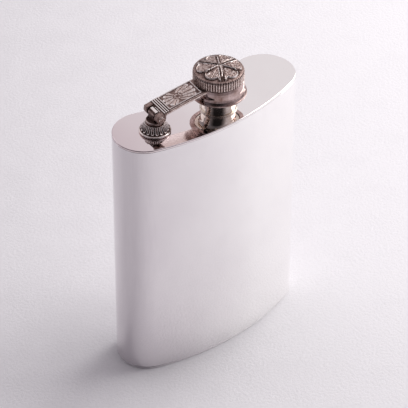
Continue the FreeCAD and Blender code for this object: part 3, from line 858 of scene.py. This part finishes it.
def polished_silver(name, left, right, rough_low, rough_high):
    """Mirror-polished silver with smudges and polishing lines.

    The tint from the post end (left) to past the middle (right) stands for darker surroundings
    reflected at the post end; the metal itself is one colour.
    """
    n = Nodes(name)
    axes = n.tree.nodes.new("ShaderNodeSeparateXYZ")
    n.link(n.coords, axes.inputs["Vector"])
    cloud = n.noise(28, 3)
    grade = n.span(axes.outputs["X"], 0, 1, -0.045, 0.015)
    end = n.math("ADD", grade, n.span(cloud, -0.12, 0.12, 0.3, 0.7))
    colour = n.ramp(end, ((0.0, left), (1.0, right)))
    smudge = n.noise(95, 5, 0.6)
    lines = n.noise(900, 2, 0.5, (1, 1, 0.03))
    rough = n.span(n.blend(0.35, smudge, lines), rough_low, rough_high, 0.3, 0.7)
    n.bump(lines, 0.00002, 0.12)
    return n.finish(colour, rough)


def cast_silver():
    """Oxidised cast silver: dark in the recesses, rubbed bright on the high spots; on some parts the
    relief value also carries painted highlights and painted shade.
    """
    n = Nodes("oxidised_cast_silver")
    patch = n.noise(900, 5, 0.7)
    grain = n.noise(2600, 4, 0.6)
    level = n.math("ADD", n.attribute("relief"), n.span(patch, -0.2, 0.2, 0.3, 0.7))
    colour = n.ramp(
        level,
        (
            (0.0, (0.035, 0.021, 0.018)),
            (0.3, (0.19, 0.122, 0.108)),
            (0.6, (0.50, 0.38, 0.34)),
            (0.95, (0.97, 0.90, 0.86)),
        ),
    )
    rough = n.span(n.math("ADD", level, n.span(grain, -0.15, 0.15, 0.3, 0.7)), 0.5, 0.2)
    n.bump(grain, 0.00004, 0.5)
    return n.finish(colour, rough)


def toned_silver(name, light, dark, rough_low, rough_high):
    """Smooth turned silver with warm brown toning in soft patches."""
    n = Nodes(name)
    patch = n.noise(190, 4, 0.6)
    fine = n.noise(1300, 3, 0.6)
    colour = n.ramp(n.blend(0.25, patch, fine), ((0.35, dark), (0.65, light)))
    rough = n.span(n.blend(0.4, patch, fine), rough_low, rough_high, 0.3, 0.7)
    n.bump(fine, 0.00001, 0.15)
    return n.finish(colour, rough)


def liner_material():
    n = Nodes("soft_liner")
    speck = n.noise(1800, 4, 0.7)
    colour = n.ramp(speck, ((0.35, (0.60, 0.55, 0.47)), (0.65, (0.74, 0.70, 0.62))))
    n.bump(speck, 0.00005, 0.5)
    return n.finish(colour, n.span(speck, 0.55, 0.75), 0.0)


def brass_material():
    n = Nodes("washer_brass")
    speck = n.noise(900, 4, 0.6)
    colour = n.ramp(speck, ((0.3, (0.48, 0.35, 0.17)), (0.7, (0.66, 0.50, 0.27))))
    n.bump(speck, 0.00002, 0.3)
    return n.finish(colour, n.span(speck, 0.25, 0.4))


def assign(obj, mat):
    obj.data.materials.clear()
    obj.data.materials.append(mat)


# ---------------------------------------------------------------- set, light and camera

CAM_AZ, CAM_EL, CAM_ROLL = math.radians(-40.479), math.radians(39.0), math.radians(-0.342)
CAM_DISTANCE = 1.1445
CAM_LENS = 227.84
AIM = Vector((0, -0.00279, 0.060))
FRAMING = (-0.00395, 0.00743)


def build_camera():
    level = Vector((math.sin(CAM_AZ), -math.cos(CAM_AZ), 0)) * math.cos(CAM_EL)
    back = level + Vector((0, 0, math.sin(CAM_EL)))
    right = Vector((math.cos(CAM_AZ), math.sin(CAM_AZ), 0))
    up = back.cross(right)
    place = AIM + back * CAM_DISTANCE
    target = AIM + right * FRAMING[0] + up * FRAMING[1]
    turned = right * math.cos(CAM_ROLL) - up * math.sin(CAM_ROLL)
    z = (place - target).normalized()
    x = (turned - z * turned.dot(z)).normalized()
    data = bpy.data.cameras.new("camera")
    data.lens = CAM_LENS
    data.sensor_width = 36.0
    data.clip_end = 20.0
    camera = bpy.data.objects.new("camera", data)
    matrix = Matrix((x, z.cross(x), z)).transposed().to_4x4()
    matrix.translation = place
    camera.matrix_world = matrix
    scene.collection.objects.link(camera)
    scene.camera = camera


def build_floor():
    mesh = bpy.data.meshes.new("floor")
    s = 3.0
    mesh.from_pydata([(-s, -s, 0), (s, -s, 0), (s, s, 0), (-s, s, 0)], [], [(0, 1, 2, 3)])
    floor = bpy.data.objects.new("floor", mesh)
    scene.collection.objects.link(floor)
    n = Nodes("pale_paper")
    side = n.tree.nodes.new("ShaderNodeVectorMath")
    side.operation = "DOT_PRODUCT"
    side.inputs[1].default_value = (math.cos(CAM_AZ), math.sin(CAM_AZ), 0)
    n.link(n.coords, side.inputs[0])
    grain = n.noise(700, 5, 0.6)
    tone = n.noise(60, 3, 0.5)
    mottle = n.span(n.blend(0.5, grain, tone), -0.25, 0.25, 0.35, 0.65)
    # The floor's colour darkens towards the camera's left: painted shade standing for the key light's
    # fall-off, with mottle at random.
    painted_falloff = n.math("ADD", n.span(side.outputs["Value"], 0.0, 1.0, -0.14, 0.05), mottle)
    colour = n.ramp(painted_falloff, ((0.0, (0.76, 0.74, 0.76)), (1.0, (0.85, 0.83, 0.85))))
    n.bump(grain, 0.0004, 0.6)
    n.finish(colour, n.span(grain, 0.65, 0.8), 0.0)
    floor.data.materials.append(n.mat)


def area_light(name, place, target, size, power, colour, mirrored=True):
    """Rectangular light; when not mirrored, polished surfaces don't show or pass on its light."""
    data = bpy.data.lights.new(name, "AREA")
    data.shape = "RECTANGLE"
    data.size, data.size_y = size
    data.energy = power
    data.color = colour
    light = bpy.data.objects.new(name, data)
    light.location = place
    light.rotation_euler = (Vector(target) - Vector(place)).to_track_quat("-Z", "Y").to_euler()
    light.visible_glossy = mirrored
    scene.collection.objects.link(light)


# World brightness by how far a direction leans to the bright side, with a dim patch behind
# the camera where nothing is lit.
BRIGHT_SIDE = (0.85, 0.30, 0.43)
WORLD_STOPS = (
    (0.10, (0.14, 0.13, 0.145)),
    (0.45, (0.40, 0.37, 0.41)),
    (0.70, (0.74, 0.70, 0.755)),
    (0.95, (0.95, 0.91, 0.95)),
)
WORLD_STRENGTH = 0.80
DIM_SIDE = (-0.504, -0.591, 0.629)
DIM_PATCH = (0.72, 0.93)
DIM_LEVEL = 0.06


def build_lights():
    # The key is split so that the polished wall doesn't throw its glow on the floor.
    key_place, key_target, key_colour = (0.60, -0.04, 0.55), (0, 0, 0.03), (1.0, 0.995, 0.985)
    area_light("key", key_place, key_target, (0.55, 0.50), 2.1, key_colour)
    area_light("key_bounce", key_place, key_target, (0.70, 0.60), 3.8, key_colour, mirrored=False)
    area_light("fill", (-0.6, 1.6, 1.2), (0, 0, 0.05), (1.4, 0.8), 2, (0.97, 0.97, 1.0))
    world = bpy.data.worlds.new("studio")
    world.use_nodes = True
    tree = world.node_tree
    coords = tree.nodes.new("ShaderNodeTexCoord")
    leans = []
    for side, (low, high), (start, end) in (
        (BRIGHT_SIDE, (-1.0, 1.0), (0.0, 1.0)),
        (DIM_SIDE, DIM_PATCH, (1.0, DIM_LEVEL)),
    ):
        dot = tree.nodes.new("ShaderNodeVectorMath")
        dot.operation = "DOT_PRODUCT"
        dot.inputs[1].default_value = side
        tree.links.new(coords.outputs["Generated"], dot.inputs[0])
        span = tree.nodes.new("ShaderNodeMapRange")
        span.inputs["From Min"].default_value = low
        span.inputs["From Max"].default_value = high
        span.inputs["To Min"].default_value = start
        span.inputs["To Max"].default_value = end
        tree.links.new(dot.outputs["Value"], span.inputs["Value"])
        leans.append(span.outputs["Result"])
    ramp = tree.nodes.new("ShaderNodeValToRGB")
    tree.links.new(leans[0], ramp.inputs["Fac"])
    while len(ramp.color_ramp.elements) < len(WORLD_STOPS):
        ramp.color_ramp.elements.new(0.5)
    for element, (place, colour) in zip(ramp.color_ramp.elements, WORLD_STOPS):
        element.position = place
        element.color = (*colour, 1)
    strength = tree.nodes.new("ShaderNodeMath")
    strength.operation = "MULTIPLY"
    strength.inputs[1].default_value = WORLD_STRENGTH
    tree.links.new(leans[1], strength.inputs[0])
    background = tree.nodes["Background"]
    tree.links.new(ramp.outputs["Color"], background.inputs["Color"])
    tree.links.new(strength.outputs["Value"], background.inputs["Strength"])
    scene.world = world


# ---------------------------------------------------------------- assembly

def build_object():
    body_silver = polished_silver(
        "polished_silver_body", (0.78, 0.745, 0.765), (0.98, 0.97, 0.96), 0.04, 0.08
    )
    plate_silver = polished_silver(
        "polished_silver_plate", (0.78, 0.675, 0.685), (0.985, 0.95, 0.93), 0.008, 0.025
    )
    neck_silver = toned_silver("neck_silver", (0.84, 0.79, 0.74), (0.60, 0.50, 0.42), 0.02, 0.05)
    ring_silver = toned_silver("ring_silver", (0.62, 0.49, 0.47), (0.24, 0.15, 0.125), 0.04, 0.12)
    cast = cast_silver()
    wall, top, base = build_body()
    neck, bead = build_neck()
    foot_ring, bell, collar, tongue = build_post()
    strap, panel, bands = build_strap(), build_panel(), build_bands()
    ring, pin = build_ring(), build_pin()
    crown, clover = build_crown(), build_clover()
    for pieces, mat, slot in (
        ((wall, base), body_silver, "polished_silver"),
        ((top,), plate_silver, "polished_silver"),
        ((neck, bead), neck_silver, "neck_silver"),
        ((foot_ring, ring), ring_silver, "antique_silver"),
        ((bell, collar, tongue, strap, panel, bands, pin, crown, clover), cast, "antique_silver"),
    ):
        for piece in pieces:
            assign(piece, mat)
    assign(frame["nodes"]["post_backing_washer"], neck_silver)
    assign(frame["nodes"]["cap_sleeve"], neck_silver)
    assign(frame["nodes"]["glide_washer"], brass_material())
    assign(frame["nodes"]["cap_liner"], liner_material())


build_object()
build_floor()
build_lights()
build_camera()
scene.view_settings.view_transform = "Standard"
